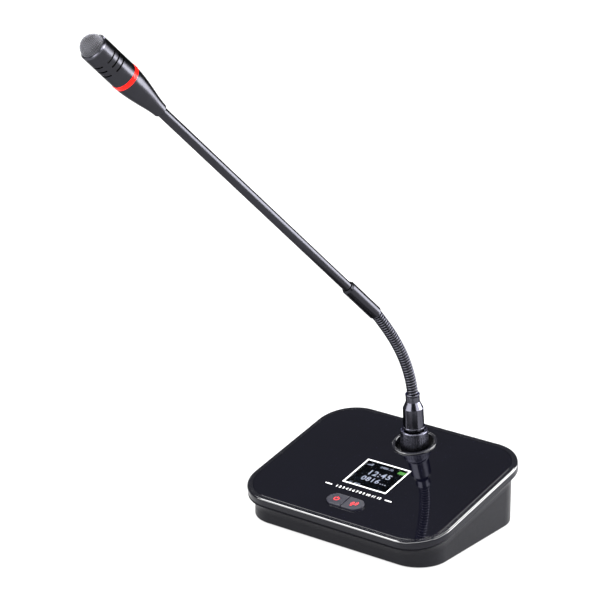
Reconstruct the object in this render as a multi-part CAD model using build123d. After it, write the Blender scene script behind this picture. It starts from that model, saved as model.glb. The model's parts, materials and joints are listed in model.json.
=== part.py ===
from build123d import *
import os
from math import cos, degrees, hypot, pi, radians, sin, tan

# A conference delegate unit: a sloped desk base with two keys and a small display, and a
# plug-in microphone on a flexible neck, held in its socket by a knurled ring.
# Millimetres, +Z up. The user sits at -Y. The origin is on the desk, under the middle of
# the base, at the centre of the non-slip pad's underside.

# Base outline
base_width = 160.0
panel_length = 127.0
base_corner = 27.0
panel_slope = 12.1
front_height = 20.4
rim_height = 5.6
rim_round = 1.2
rim_bevel_width = 1.1
rim_bevel_drop = 0.17
rim_lower_chamfer = 0.45

# Upper shell
shell_rim_width = 4.0
shell_wall = 9.0
deck_thickness = 2.2
boss_radius = 3.2
boss_pilot_radius = 1.0
boss_inset_x = 12.0
boss_inset_y = 13.0
key_post_radius = 2.2

# Top panel
panel_thickness = 2.0
panel_gap = 0.12
panel_edge_chamfer = 0.25

# Lower casing
casing_side_inset = 4.5
casing_front_inset = 6.2
casing_rear_inset = 3.4
casing_corner = 22.0
casing_wall = 2.4
casing_bottom_round = 1.2
casing_floor = 2.8
flange_inset = 0.5
cove_depth = 8.6
cove_start = 32.0
cove_steps = 6
pillar_radius = 4.4
pillar_height = 4.0
board_post_radius = 2.6

# Non-slip pad and ballast
pad_width = 116.0
pad_depth = 82.0
pad_corner = 9.0
pad_thickness = 1.6
pad_proud = 0.8
pad_edge_round = 0.3
ballast_side_gap = 1.4
ballast_depth = 54.0
ballast_thickness = 5.0
ballast_corner = 3.0
ballast_shift = 22.5

# Screws
screw_thread_radius = 1.0
screw_hole_radius = 1.3
screw_head_radius = 2.2
screw_head_height = 1.3
screw_bite = 4.6
screw_socket_radius = 1.0
screw_socket_depth = 0.7
counterbore_radius = 2.5
counterbore_depth = 2.0

# Display
screen_width = 34.2
screen_depth = 29.4
screen_from_front = 42.8
lens_gap = 0.1
module_width = 39.0
module_depth = 35.0
module_thickness = 3.2
module_corner = 1.0
ribbon_width = 14.0
ribbon_thickness = 0.3
ribbon_bend = 2.0
ribbon_inset = 3.0

# Keys
key_length = 28.4
key_width = 12.2
key_from_front = 22.0
key_proud = 1.3
key_split = 0.7
key_gap = 0.25
key_edge_round = 0.5
key_flange = 1.1
key_flange_thickness = 1.0
key_flange_play = 0.1
key_travel = 0.8
key_stub_radius = 1.9
key_stub_length = 1.2
key_centre_shift = 1.2
plunger_radius = 1.6
plunger_length = 2.0
plunger_clearance = 0.05
switch_side = 6.2
switch_floor = 0.6
switch_clearance = 0.1
key_board_width = 44.0
key_board_depth = 16.0
key_board_screw_span = 38.0
board_thickness = 1.2

# Main board and what it carries
main_board_width = 104.0
main_board_depth = 54.0
main_board_thickness = 1.6
main_board_height = 12.2
main_board_shift = -3.0
board_corner = 2.0
board_screw_inset = 4.0
radio_width = 24.0
radio_depth = 18.0
radio_height = 2.6
radio_corner = 0.8
radio_inset = 6.0
chip_shares = ((0.13, 0.25, 0.24, 0.1), (0.08, 0.16, 0.4, 0.2), (0.07, 0.13, 0.38, -0.2),
               (0.1, 0.1, 0.02, 0.3))
chip_height = 1.4
antenna_width = 34.0
antenna_height = 9.0
antenna_thickness = 0.8
antenna_inset = 5.0

# Battery
battery_width = 58.0
battery_depth = 38.0
battery_height = 7.2
battery_round = 1.6
battery_side_gap = 1.9
battery_y = 33.5

# Charging socket at the rear
charge_board_width = 22.0
charge_board_depth = 15.0
charge_board_height = 9.0
charge_place_share = 0.254
charge_width = 8.9
charge_height = 3.2
charge_depth = 7.4
charge_wall = 0.35
charge_tongue_height = 0.7
charge_tongue_share = 0.68
charge_clearance = 0.3
charge_setback = 0.4
charge_board_gap = 0.7

# Microphone socket in the panel
socket_from_rear = 24.4
stem_yaw = 15.0
plug_tilt = 4.0
trim_radius = 15.4
trim_inner_radius = 13.2
trim_proud = 0.9
trim_round = 0.6
cup_wall = 1.2
cup_gap = 0.15
cup_floor_depth = 6.2
cup_floor_thickness = 1.8
barrel_radius = 7.7
barrel_bore_radius = 6.45
barrel_top = 1.4
barrel_length = 22.0
barrel_flange_radius = 9.6
barrel_flange_thickness = 1.0
nut_across_flats = 20.0
nut_thickness = 2.6
insert_radius = 4.4
insert_top = -4.6
insert_seat_length = 6.0
contact_count = 5
contact_circle_radius = 2.6
contact_hole_radius = 0.75
contact_hole_depth = 6.6

# Locking ring
ring_radius = 9.55
ring_bore_gap = 0.1
ring_bottom = -4.4
ring_top = 10.4
ring_lip_thickness = 1.6
ring_lip_gap = 0.05
ring_top_round = 1.1
ring_dish_depth = 1.2
ring_dish_radius = 8.3
knurl_count = 36
knurl_radius = 0.42
knurl_sink = 0.22
knurl_bottom_margin = 1.6
knurl_top_margin = 3.0

# Plug
nose_gap = 0.05
nose_bottom = -10.4
nose_wall = 1.3
shoulder_bottom = 1.6
shoulder_radius = 7.45
shoulder_thickness = 3.0
plug_waist_radius = 6.8
bead_bottom = 11.9
bead_radius = 7.8
bead_thickness = 1.4
bead_round = 0.5
plug_body_radius = 7.25
plug_body_top_radius = 7.05
plug_body_top = 26.5
plug_cone_top = 31.3
plug_cable_radius = 2.4
plug_insert_bottom = -1.6
plug_insert_length = 7.0
plug_chamber_length = 4.6
pin_radius = 0.5
pin_tip = -8.8
pin_tail = 3.0

# Neck ferrule and flexible neck
ferrule_radius = 4.85
ferrule_top = 37.0
ferrule_lip = 0.9
ferrule_lip_radius = 5.05
ferrule_spigot = 5.0
neck_length = 72.6
neck_crest_radius = 3.92
neck_valley_radius = 3.2
neck_bore_radius = 2.2
neck_slit = 1.0
neck_start_tilt = 8.3
neck_end_tilt = 39.8
neck_bow_share = 0.64
link_count = 8
ribs_per_link = 6
rib_rise_share = 0.28
rib_fall_share = 0.72

# Collar, stem and head, measured up the stem from the end of the neck
stem_tilt = 45.7
collar_length = 33.8
collar_radius = 4.7
collar_bevel = 1.7
collar_foot_round = 0.5
stem_radius = 3.4
stem_bore_radius = 2.2
stem_start = 12.0
lead_radius = 1.5
cone_start = 234.1
cone_length = 33.2
cone_lip_radius = 4.55
cone_lip_round = 0.7
cone_profile_shares = ((0.18, 0.13), (0.44, 0.48), (0.7, 0.8))
cone_wall = 1.2
cone_socket_length = 14.0
cone_rim_length = 1.6
head_radius = 8.95
light_length = 3.2
light_proud = 0.25
light_wall = 1.7
light_round = 0.35
light_board_thickness = 1.2
led_side = 1.8
led_height = 0.9
led_count = 4
tube_length = 27.3
tube_wall = 0.9
slot_groups = 4
slots_per_group = 3
slot_arc = 66.0
slot_width = 1.1
slot_first = 9.7
slot_pitch = 4.15
slot_phase = 12.5
bezel_length = 1.5
bezel_chamfer = 0.6
bezel_spigot = 2.6
dome_radius = 7.9
dome_rise = 7.3
dome_wall = 0.6
dome_skirt = 1.2
foam_wall = 1.5
capsule_radius = 4.85
capsule_length = 5.2
capsule_setback = 1.6
capsule_rim = 0.5
capsule_rim_depth = 0.3
mount_length = 6.0
liner_wall = 0.7

cut_overrun = 1.0
reach = 400.0

# Places worked out from the sizes above
slope = radians(panel_slope)
half_panel = panel_length / 2
panel_mid_height = front_height + half_panel * sin(slope)
panel_plane = Plane(origin=(0, 0, panel_mid_height), x_dir=(1, 0, 0), z_dir=(0, -sin(slope), cos(slope)))
parting_height = panel_mid_height - rim_height / cos(slope)
deck_top = -panel_thickness
deck_bottom = deck_top - deck_thickness
socket_v = half_panel - socket_from_rear
socket_y = socket_v * cos(slope)
socket_z = panel_mid_height + socket_v * sin(slope)
stem_base = Pos(0, socket_y, socket_z) * Rot(0, 0, -stem_yaw)
plug_axis = stem_base * Rot(plug_tilt, 0, 0)
floor_top = pad_proud + casing_floor
key_v = key_from_front - half_panel
screen_v = screen_from_front + screen_depth / 2 - half_panel
key_board_top = deck_bottom - key_flange_play - key_flange_thickness - key_stub_length - plunger_length \
    - switch_floor - key_travel
switch_height = switch_floor + plunger_length - switch_clearance
casing_width = base_width - 2 * casing_side_inset
plan_depth = panel_length * cos(slope)
casing_depth = plan_depth - casing_front_inset - casing_rear_inset
casing_y = (casing_front_inset - casing_rear_inset) / 2
boss_places = [(x, casing_y + y)
               for x in (-casing_width / 2 + boss_inset_x, casing_width / 2 - boss_inset_x)
               for y in (-casing_depth / 2 + boss_inset_y, casing_depth / 2 - boss_inset_y)]
main_board_y = main_board_shift
main_screw_x = main_board_width / 2 - board_screw_inset
main_screw_y = main_board_depth / 2 - board_screw_inset
main_screw_places = [(x, main_board_y + y) for x in (-main_screw_x, main_screw_x)
                     for y in (-main_screw_y, main_screw_y)]
ballast_width = 2 * (main_screw_x - board_post_radius - ballast_side_gap)
radio_x = radio_inset + (radio_width - main_board_width) / 2
antenna_x = antenna_inset + (antenna_width - main_board_width) / 2
battery_x = board_post_radius + battery_side_gap + battery_width / 2 - main_screw_x
key_screw_places = [(-key_board_screw_span / 2, key_v), (key_board_screw_span / 2, key_v)]
casing_rear_y = casing_y + casing_depth / 2
charge_x = charge_place_share * casing_width
charge_board_y = casing_rear_y - casing_wall - charge_board_gap - charge_board_depth / 2
charge_screw_places = [(charge_x + x, charge_board_y - charge_board_depth / 2 + board_screw_inset)
                       for x in (-charge_board_width / 2 + board_screw_inset,
                                 charge_board_width / 2 - board_screw_inset)]


# Shared shapes
def disc(radius, height, base=0.0):
    return Pos(0, 0, base) * Cylinder(radius, height, align=(Align.CENTER, Align.CENTER, Align.MIN))


def tube(outer, inner, height, base=0.0):
    return disc(outer, height, base) - disc(inner, height + 2 * cut_overrun, base - cut_overrun)


def block(width, depth, height, base=0.0):
    return Pos(0, 0, base) * Box(width, depth, height, align=(Align.CENTER, Align.CENTER, Align.MIN))


def rounded_slab(width, depth, height, corner, base=0.0):
    return Pos(0, 0, base) * extrude(RectangleRounded(width, depth, corner), amount=height)


def turned(*profile):
    """A solid of revolution about Z from (radius, height) points."""
    face = make_face(Plane.XZ * Polyline(*profile, close=True))
    return revolve(face, Axis.Z)


def above_panel_plane(depth):
    """Everything above the plane that lies `depth` over (or, if negative, under) the panel's face."""
    return panel_plane * block(reach, reach, reach, depth)


def screw(head_down_height):
    """A pan-head screw that stands on its head, the head's outer face at z = 0."""
    body = disc(screw_head_radius, screw_head_height) + disc(screw_thread_radius, head_down_height)
    drive = disc(screw_socket_radius, screw_socket_depth + cut_overrun, -cut_overrun)
    return body - drive


def screw_from_above(length):
    """The same screw turned over, its head's seat at z = 0 and its thread below."""
    return Pos(0, 0, screw_head_height) * Rot(180, 0, 0) * screw(screw_head_height + length)


# Base
def slanted(shape, height):
    """The shape sheared so that its z = 0 plane runs parallel to the panel, `height` up at y = 0."""
    sheared = shape.transform_geometry(Matrix([[1, 0, 0, 0], [0, 1, 0, 0], [0, tan(slope), 1, 0]]))
    return Pos(0, 0, height) * sheared


def casing_plan(share, grow):
    """The casing's outline from its wall (share 0) to its edge under the rim (share 1)."""
    width = casing_width + (base_width - 2 * flange_inset - casing_width) * share
    depth = casing_depth + (plan_depth - 2 * flange_inset - casing_depth) * share
    corner = casing_corner + (base_corner - flange_inset - casing_corner) * share
    outline = RectangleRounded(width + 2 * grow, depth + 2 * grow, corner + grow)
    return Pos(0, casing_y * (1 - share), 0) * outline


def casing_cove(grow):
    """The hollow curve by which the casing's wall swings out to the rim."""
    start = radians(cove_start)
    sections = []
    for step in range(cove_steps + 1):
        turn = start + (pi / 2 - start) * step / cove_steps
        share = (1 - sin(turn)) / (1 - sin(start))
        drop = cove_depth * (1 - cos(turn) / cos(start))
        sections.append(Pos(0, 0, -drop) * casing_plan(share, grow))
    return slanted(loft(sections), parting_height)


def casing_walls(grow, foot):
    """The casing's upright walls, from `foot` up to the cove's lower edge."""
    above = slanted(block(reach, reach, reach / 4), parting_height - cove_depth)
    return Pos(0, 0, foot) * extrude(casing_plan(0, grow), amount=reach / 8) - above


def lower_casing():
    body = casing_walls(0, pad_proud)
    body = fillet(body.edges().group_by(Axis.Z)[0], casing_bottom_round)
    body = body + casing_cove(0)
    body = body - casing_walls(-casing_wall, floor_top) - casing_cove(-casing_wall)
    body = body + [Pos(x, y, floor_top) * disc(pillar_radius, pillar_height) for x, y in boss_places]
    body = body + [Pos(x, y, floor_top) * disc(board_post_radius, main_board_height - floor_top)
                   for x, y in main_screw_places]
    body = body + [Pos(x, y, floor_top) * disc(board_post_radius, charge_board_height - floor_top)
                   for x, y in charge_screw_places]
    counterbore = disc(counterbore_radius, counterbore_depth + cut_overrun, -cut_overrun)
    screw_hole = disc(screw_hole_radius, casing_floor + pillar_height + cut_overrun)
    for x, y in boss_places:
        body = body - Pos(x, y, pad_proud) * counterbore - Pos(x, y, pad_proud) * screw_hole
    tapped = disc(screw_thread_radius, screw_bite + cut_overrun, -screw_bite)
    body = body - [Pos(x, y, main_board_height) * tapped for x, y in main_screw_places]
    body = body - [Pos(x, y, charge_board_height) * tapped for x, y in charge_screw_places]
    body = body - rounded_slab(pad_width + 2 * panel_gap, pad_depth + 2 * panel_gap,
                               pad_thickness, pad_corner + panel_gap)
    return body - charge_opening()


def charge_centre_height():
    return charge_board_height + board_thickness + charge_height / 2


def stadium_bar(width, height, length):
    """A bar along Y with round ends, its section centred on the Y axis, from y = 0 to `length`."""
    return Rot(-90, 0, 0) * extrude(SlotOverall(width, height), amount=length)


def charge_opening():
    cut = stadium_bar(charge_width + 2 * charge_clearance, charge_height + 2 * charge_clearance,
                      casing_wall * 2 + cut_overrun)
    return Pos(charge_x, casing_rear_y - 2 * casing_wall, charge_centre_height()) * cut


def upper_shell():
    outer = rounded_slab(base_width, panel_length, rim_height, base_corner, -rim_height)
    outer = chamfer(outer.edges().group_by(Axis.Z)[0], rim_lower_chamfer)
    outer = chamfer(outer.edges().group_by(Axis.Z)[-1], rim_bevel_drop, rim_bevel_width)
    outer = fillet(outer.edges().group_by(Axis.Z)[-3], rim_round)
    recess_width = base_width - 2 * shell_rim_width
    recess_length = panel_length - 2 * shell_rim_width
    recess = rounded_slab(recess_width, recess_length, panel_thickness + cut_overrun,
                          base_corner - shell_rim_width, -panel_thickness)
    hollow = rounded_slab(base_width - 2 * shell_wall, panel_length - 2 * shell_wall,
                          rim_height + deck_bottom + cut_overrun, base_corner - shell_wall,
                          -rim_height - cut_overrun)
    shell = outer - recess - hollow
    shell = shell + [Pos(x, v, key_board_top) * disc(key_post_radius, deck_bottom - key_board_top)
                     for x, v in key_screw_places]
    tapped = disc(screw_thread_radius, screw_bite + cut_overrun, -cut_overrun)
    shell = shell - [Pos(x, v, key_board_top) * tapped for x, v in key_screw_places]
    through = deck_thickness + 2 * cut_overrun
    under = deck_bottom - cut_overrun
    module_hole = rounded_slab(module_width + 2 * panel_gap, module_depth + 2 * panel_gap, through,
                               module_corner, under)
    cup_hole = disc(trim_inner_radius + cup_wall + cup_gap, through, under)
    shell = shell - Pos(0, key_v, under) * key_pill(key_gap, through)
    shell = shell - Pos(0, screen_v, 0) * module_hole - Pos(0, socket_v, 0) * cup_hole
    shell = panel_plane * shell
    boss_foot = floor_top + pillar_height
    for x, y in boss_places:
        boss = Pos(x, y, boss_foot) * disc(boss_radius, reach / 4)
        boss = boss - above_panel_plane(deck_bottom + deck_thickness / 2)
        pilot = Pos(x, y, boss_foot) * disc(boss_pilot_radius, screw_bite + cut_overrun, -cut_overrun)
        shell = shell + boss - pilot
    return shell


def key_pill(grow, height):
    return extrude(SlotOverall(key_length + 2 * grow, key_width + 2 * grow), amount=height)


def top_panel():
    width = base_width - 2 * shell_rim_width - 2 * panel_gap
    length = panel_length - 2 * shell_rim_width - 2 * panel_gap
    sheet = rounded_slab(width, length, panel_thickness, base_corner - shell_rim_width - panel_gap,
                         -panel_thickness)
    sheet = chamfer(sheet.edges().group_by(Axis.Z)[-1], panel_edge_chamfer)
    through = panel_thickness + 2 * cut_overrun
    under = -panel_thickness - cut_overrun
    sheet = sheet - Pos(0, key_v, under) * key_pill(key_gap, through)
    sheet = sheet - Pos(0, screen_v, 0) * block(screen_width, screen_depth, through, under)
    sheet = sheet - Pos(0, socket_v, 0) * disc(trim_inner_radius + cup_wall + cup_gap, through, under)
    return panel_plane * sheet


def display_window():
    lens = block(screen_width - 2 * lens_gap, screen_depth - 2 * lens_gap, panel_thickness, -panel_thickness)
    return panel_plane * Pos(0, screen_v, 0) * lens


def display_module():
    body = rounded_slab(module_width, module_depth, module_thickness, module_corner,
                        deck_top - module_thickness)
    return panel_plane * Pos(0, screen_v, 0) * body


def display_ribbon():
    """The flat ribbon that runs from the display's underside down to the main board."""
    start = panel_plane * Pos(0, screen_v - module_depth / 2 + ribbon_inset, deck_top - module_thickness)
    top = start.position
    foot_z = main_board_height + main_board_thickness
    drop = top.Z - foot_z
    lying_z = foot_z + ribbon_thickness / 2
    path = Plane.YZ * FilletPolyline((top.Y, top.Z), (top.Y, lying_z), (top.Y + drop, lying_z),
                                     radius=ribbon_bend)
    across = Plane(origin=path @ 0, z_dir=path % 0, x_dir=(1, 0, 0))
    section = across * Rectangle(ribbon_width, ribbon_thickness)
    ribbon = sweep(section, path=path)
    return ribbon - panel_plane * block(reach, reach, reach, deck_top - module_thickness)


def non_slip_pad():
    pad = rounded_slab(pad_width, pad_depth, pad_thickness, pad_corner)
    return fillet(pad.edges().group_by(Axis.Z)[0], pad_edge_round)


def ballast_plate():
    return Pos(0, -ballast_shift + casing_y, floor_top) * rounded_slab(ballast_width, ballast_depth,
                                                                     ballast_thickness, ballast_corner)


def case_screws():
    length = casing_floor + pillar_height - counterbore_depth + screw_bite
    head_face = pad_proud + counterbore_depth - screw_head_height
    fastener = screw(screw_head_height + length)
    return Compound([Pos(x, y, head_face) * fastener for x, y in boss_places])


def board_screws():
    main_screw = screw_from_above(main_board_thickness + screw_bite)
    small_screw = screw_from_above(board_thickness + screw_bite)
    screws = [Pos(x, y, main_board_height + main_board_thickness) * main_screw for x, y in main_screw_places]
    screws += [Pos(x, y, charge_board_height + board_thickness) * small_screw
               for x, y in charge_screw_places]
    head_face = key_board_top - board_thickness - screw_head_height
    screws += [panel_plane * Pos(x, v, head_face) * screw(screw_head_height + board_thickness + screw_bite)
               for x, v in key_screw_places]
    return Compound(screws)


def main_board():
    board = rounded_slab(main_board_width, main_board_depth, main_board_thickness, board_corner)
    board = Pos(0, main_board_y, main_board_height) * board
    hole = disc(screw_hole_radius, main_board_thickness + 2 * cut_overrun, -cut_overrun)
    return board - [Pos(x, y, main_board_height) * hole for x, y in main_screw_places]


def on_main_board(x, y):
    return Pos(x, main_board_y + y, main_board_height + main_board_thickness)


def radio_module():
    can = rounded_slab(radio_width, radio_depth, radio_height, radio_corner)
    can = chamfer(can.edges().group_by(Axis.Z)[-1], radio_corner / 2)
    return on_main_board(radio_x, 0) * can


def main_chips():
    chips = []
    for width_share, depth_share, x_share, y_share in chip_shares:
        chip = block(width_share * main_board_width, depth_share * main_board_depth, chip_height)
        chips.append(on_main_board(x_share * main_board_width, y_share * main_board_depth) * chip)
    return Compound(chips)


def antenna_board():
    rear_edge = main_board_depth / 2 - antenna_thickness / 2
    return on_main_board(antenna_x, rear_edge) * block(antenna_width, antenna_thickness, antenna_height)


def battery_pack():
    pack = block(battery_width, battery_depth, battery_height)
    pack = fillet(pack.edges().filter_by(Axis.Y), battery_round)
    return Pos(battery_x, battery_y, floor_top) * pack


def charge_board():
    board = block(charge_board_width, charge_board_depth, board_thickness)
    board = Pos(charge_x, charge_board_y, charge_board_height) * board
    hole = disc(screw_hole_radius, board_thickness + 2 * cut_overrun, -cut_overrun)
    return board - [Pos(x, y, charge_board_height) * hole for x, y in charge_screw_places]


def charge_socket():
    inner_width = charge_width - 2 * charge_wall
    inner_height = charge_height - 2 * charge_wall
    shell = stadium_bar(charge_width, charge_height, charge_depth)
    cavity = Pos(0, charge_wall, 0) * stadium_bar(inner_width, inner_height, charge_depth)
    tongue = Pos(0, charge_depth * charge_tongue_share / 2, 0) * Box(
        inner_width * charge_tongue_share, charge_depth * charge_tongue_share, charge_tongue_height)
    shell = shell - cavity + tongue
    mouth_y = casing_rear_y - charge_setback
    return Pos(charge_x, mouth_y - charge_depth, charge_centre_height()) * shell


# Keys
def key_half(side):
    """One key: side is -1 for the left half of the pill and +1 for the right."""
    top = key_proud
    cap = Pos(0, 0, deck_bottom - key_flange_play) * key_pill(0, top - deck_bottom + key_flange_play)
    cap = fillet(cap.edges().group_by(Axis.Z)[-1], key_edge_round)
    flange_base = deck_bottom - key_flange_play - key_flange_thickness
    flange = Pos(0, 0, flange_base) * key_pill(key_flange, key_flange_thickness)
    body = cap + flange
    keep = Pos(side * (reach / 2 + key_split / 2), 0, 0) * Box(reach, reach, reach)
    body = body & keep
    stub_x = side * (key_length / 4 + key_centre_shift)
    body = body + Pos(stub_x, 0, flange_base - key_stub_length) * disc(key_stub_radius, key_stub_length)
    return panel_plane * Pos(0, key_v, 0) * body


def switch_place(side):
    return panel_plane * Pos(side * (key_length / 4 + key_centre_shift), key_v, 0)


def switch_plunger(side):
    top = deck_bottom - key_flange_play - key_flange_thickness - key_stub_length
    return switch_place(side) * disc(plunger_radius, plunger_length, top - plunger_length)


def switch_housing(side):
    body = block(switch_side, switch_side, switch_height, key_board_top)
    well_floor = key_board_top + switch_floor
    bore = disc(plunger_radius + plunger_clearance, switch_height + cut_overrun, well_floor)
    return switch_place(side) * (body - bore)


def key_board():
    board = block(key_board_width, key_board_depth, board_thickness, key_board_top - board_thickness)
    hole = disc(screw_hole_radius, board_thickness + 2 * cut_overrun, -board_thickness - cut_overrun)
    board = board - [Pos(x, v - key_v, key_board_top) * hole for x, v in key_screw_places]
    return panel_plane * Pos(0, key_v, 0) * board


# Microphone socket
def trim_cup():
    """The bright-lipped cup that lines the hole in the panel; its floor is square to the plug."""
    lip = tube(trim_radius, trim_inner_radius, trim_proud)
    lip = fillet(lip.edges().group_by(Axis.Z)[-1], trim_round)
    deep = 3 * cup_floor_depth
    wall = tube(trim_inner_radius + cup_wall, trim_inner_radius, deep, -deep)
    cup = panel_plane * Pos(0, socket_v, 0) * (lip + wall)
    below = plug_axis * block(reach, reach, reach, -reach - cup_floor_depth - cup_floor_thickness)
    plug_hole = plug_axis * disc(barrel_radius + cup_gap, reach, -reach / 2)
    column = panel_plane * Pos(0, socket_v, 0) * disc(trim_inner_radius + cup_wall / 2, deep, -deep)
    slab = plug_axis * block(reach, reach, cup_floor_thickness, -cup_floor_depth - cup_floor_thickness)
    return (cup - below) + (column & slab) - plug_hole


def socket_barrel():
    bottom = barrel_top - barrel_length
    body = disc(barrel_radius, barrel_length, bottom)
    body = body + disc(barrel_flange_radius, barrel_flange_thickness, -cup_floor_depth)
    body = body - disc(barrel_bore_radius, barrel_length + 2 * cut_overrun, bottom - cut_overrun)
    return plug_axis * body


def socket_nut():
    top = -cup_floor_depth - cup_floor_thickness
    nut = extrude(RegularPolygon(nut_across_flats / 2, 6, major_radius=False), amount=nut_thickness)
    nut = Pos(0, 0, top - nut_thickness) * nut
    bore = disc(barrel_radius, nut_thickness + 2 * cut_overrun, top - nut_thickness - cut_overrun)
    return plug_axis * (nut - bore)


def contact_places():
    turns = [2 * pi * i / contact_count for i in range(contact_count)]
    return [(contact_circle_radius * cos(turn), contact_circle_radius * sin(turn)) for turn in turns]


def socket_insert():
    """The female insulator: a seat that fills the barrel's foot and a nose that the plug goes round."""
    bottom = barrel_top - barrel_length
    body = disc(barrel_bore_radius, insert_seat_length, bottom)
    body = body + disc(insert_radius, insert_top - bottom, bottom)
    for x, y in contact_places():
        body = body - Pos(x, y, 0) * disc(contact_hole_radius, contact_hole_depth + cut_overrun,
                                          insert_top - contact_hole_depth)
    return plug_axis * body


# Locking ring
def locking_ring():
    bore = barrel_radius + ring_bore_gap
    lip_bottom = ring_top - ring_dish_depth - ring_lip_thickness
    body = disc(ring_radius, ring_top - ring_bottom, ring_bottom)
    body = fillet(body.edges().group_by(Axis.Z)[-1], ring_top_round)
    body = body - disc(bore, lip_bottom - ring_bottom + cut_overrun, ring_bottom - cut_overrun)
    body = body - disc(plug_waist_radius + ring_lip_gap, ring_top - ring_bottom)
    body = body - disc(ring_dish_radius, ring_dish_depth + cut_overrun, ring_top - ring_dish_depth)
    length = ring_top - knurl_top_margin - ring_bottom - knurl_bottom_margin
    groove = Pos(ring_radius + knurl_sink, 0, ring_bottom + knurl_bottom_margin) * Cylinder(
        knurl_radius, length, align=(Align.CENTER, Align.CENTER, Align.MIN))
    body = body - [Rot(0, 0, 360 * i / knurl_count) * groove for i in range(knurl_count)]
    return plug_axis * body


# Plug
def plug_body():
    nose_radius = barrel_bore_radius - nose_gap
    shoulder_top = shoulder_bottom + shoulder_thickness
    bead_top = bead_bottom + bead_thickness
    body = turned((0, nose_bottom), (nose_radius, nose_bottom), (nose_radius, shoulder_bottom),
                  (shoulder_radius, shoulder_bottom), (shoulder_radius, shoulder_top),
                  (plug_waist_radius, shoulder_top), (plug_waist_radius, bead_bottom),
                  (bead_radius, bead_bottom), (bead_radius, bead_top), (plug_body_radius, bead_top),
                  (plug_body_top_radius, plug_body_top), (ferrule_radius, plug_cone_top), (0, plug_cone_top))
    circles = body.edges().filter_by(GeomType.CIRCLE)
    body = fillet([edge for edge in circles if abs(edge.radius - bead_radius) < nose_gap], bead_round)
    cavity_top = plug_insert_bottom + plug_insert_length + plug_chamber_length
    cavity_height = cavity_top - nose_bottom + cut_overrun
    cable_height = plug_cone_top - cavity_top + 2 * cut_overrun
    body = body - disc(nose_radius - nose_wall, cavity_height, nose_bottom - cut_overrun)
    body = body - disc(plug_cable_radius, cable_height, cavity_top - cut_overrun)
    body = body - disc(neck_crest_radius, ferrule_spigot + cut_overrun, plug_cone_top - ferrule_spigot)
    return plug_axis * body


def plug_insert():
    body = disc(barrel_bore_radius - nose_gap - nose_wall, plug_insert_length, plug_insert_bottom)
    for x, y in contact_places():
        body = body - Pos(x, y, 0) * disc(pin_radius, reach, -reach / 2)
    return plug_axis * body


def plug_pins():
    length = plug_insert_bottom + plug_insert_length + pin_tail - pin_tip
    pin = disc(pin_radius, length, pin_tip)
    return Compound([plug_axis * Pos(x, y, 0) * pin for x, y in contact_places()])


def neck_ferrule():
    """The crimped sleeve on the plug; its spigot sits in the plug's cone."""
    spigot_bottom = plug_cone_top - ferrule_spigot
    lip_bottom = ferrule_top - ferrule_lip
    body = turned((neck_bore_radius, spigot_bottom), (neck_crest_radius, spigot_bottom),
                  (neck_crest_radius, plug_cone_top), (ferrule_radius, plug_cone_top),
                  (ferrule_radius, lip_bottom - ferrule_lip), (ferrule_lip_radius, lip_bottom),
                  (ferrule_lip_radius, ferrule_top - ferrule_lip / 3), (ferrule_radius, ferrule_top),
                  (neck_bore_radius, ferrule_top))
    return plug_axis * body


# Flexible neck
def neck_tilt(junction):
    """Degrees from upright at a junction, from the ferrule (0) to the collar (link_count)."""
    share = junction / link_count
    bowed = share + neck_bow_share * share * (1 - share)
    return neck_start_tilt + (neck_end_tilt - neck_start_tilt) * bowed


def link_run(start, link, run):
    """The (y, z, tilt) that lies `run` along a link that starts at (y, z) in the plane of the bend."""
    from_tilt = radians(neck_tilt(link))
    to_tilt = radians(neck_tilt(link + 1))
    radius = neck_length / link_count / (to_tilt - from_tilt)
    tilt = from_tilt + run / radius
    y = start[0] + radius * (cos(tilt) - cos(from_tilt))
    z = start[1] + radius * (sin(tilt) - sin(from_tilt))
    return y, z, degrees(tilt)


def neck_starts():
    """The (y, z) of every junction, the first half a slit above the ferrule."""
    height = ferrule_top + neck_slit / 2
    starts = [(-height * sin(radians(plug_tilt)), height * cos(radians(plug_tilt)))]
    for link in range(link_count):
        y, z, tilt = link_run(starts[-1], link, neck_length / link_count)
        starts.append((y, z))
    return starts


def neck_place(link, run):
    y, z, tilt = link_run(neck_starts()[link], link, run)
    return stem_base * Pos(0, y, z) * Rot(tilt, 0, 0)


def neck_link(link):
    """One stretch of the flexible tube: ruled ribs on the arc, round a plain bore."""
    first = neck_slit / 2
    pitch = (neck_length / link_count - neck_slit) / ribs_per_link
    stations = [(first, neck_valley_radius)]
    for rib in range(ribs_per_link):
        foot = first + rib * pitch
        stations += [(foot + rib_rise_share * pitch, neck_crest_radius),
                     (foot + rib_fall_share * pitch, neck_crest_radius),
                     (foot + pitch, neck_valley_radius)]
    rings = [neck_place(link, run) * Circle(radius) for run, radius in stations]
    bores = [neck_place(link, first + rib * pitch) * Circle(neck_bore_radius)
             for rib in range(ribs_per_link + 1)]
    return loft(rings, ruled=True) - loft(bores, ruled=True)


# Collar, stem and head
head_start = neck_starts()[-1]
stem_axis = stem_base * Pos(0, head_start[0], head_start[1]) * Rot(stem_tilt, 0, 0)
cone_end = cone_start + cone_length
light_end = cone_end + light_length
tube_end = light_end + tube_length
bezel_end = tube_end + bezel_length
dome_bend = (dome_radius ** 2 + dome_rise ** 2) / (2 * dome_rise)


def collar():
    foot = neck_slit / 2
    body = turned((neck_bore_radius, foot), (collar_radius - collar_foot_round, foot),
                  (collar_radius, foot + collar_foot_round), (collar_radius, collar_length - collar_bevel),
                  (stem_radius + collar_foot_round, collar_length), (stem_radius, collar_length),
                  (stem_radius, stem_start), (neck_bore_radius, stem_start))
    return stem_axis * body


def stem_tube():
    top = cone_start + cone_socket_length
    return stem_axis * tube(stem_radius, stem_bore_radius, top - stem_start, stem_start)


def stem_lead():
    return stem_axis * disc(lead_radius, cone_end - stem_start, stem_start)


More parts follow.
